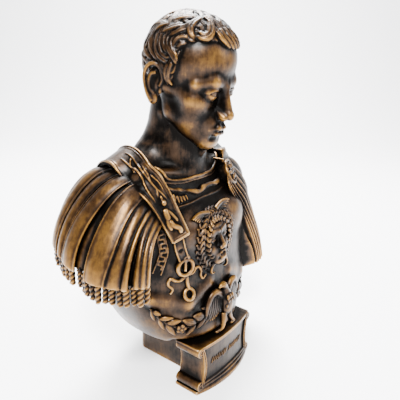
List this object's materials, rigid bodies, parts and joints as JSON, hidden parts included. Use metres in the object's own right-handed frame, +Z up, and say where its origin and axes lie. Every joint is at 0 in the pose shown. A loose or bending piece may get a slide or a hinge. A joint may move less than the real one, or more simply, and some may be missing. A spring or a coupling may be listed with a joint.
{
  "type": "portrait bust on a plinth",
  "caption": "Bust of a Roman officer in parade armour with strip cape, shoulder cloak and raised chest ornament, standing on a block plinth with a scroll-ended name plaque.",
  "frame": {"origin": "on the underside of the plinth, below the middle of the chest", "axes": "+Z up, -Y is the way the chest faces, +X is the figure's left side"},
  "size_m": [0.2123, 0.1265, 0.3013],
  "materials": {
    "bust": "bronze-coloured coat on cast resin, nearly black in the hollows and rubbed to dull gold on the high points, satin",
    "plinth": "dark bronze-coloured coat on cast resin, rubbed to dull gold along the edges, satin"
  },
  "bodies": {
    "root": {"bust": "bust", "plinth": "plinth"}
  },
  "joints": []
}
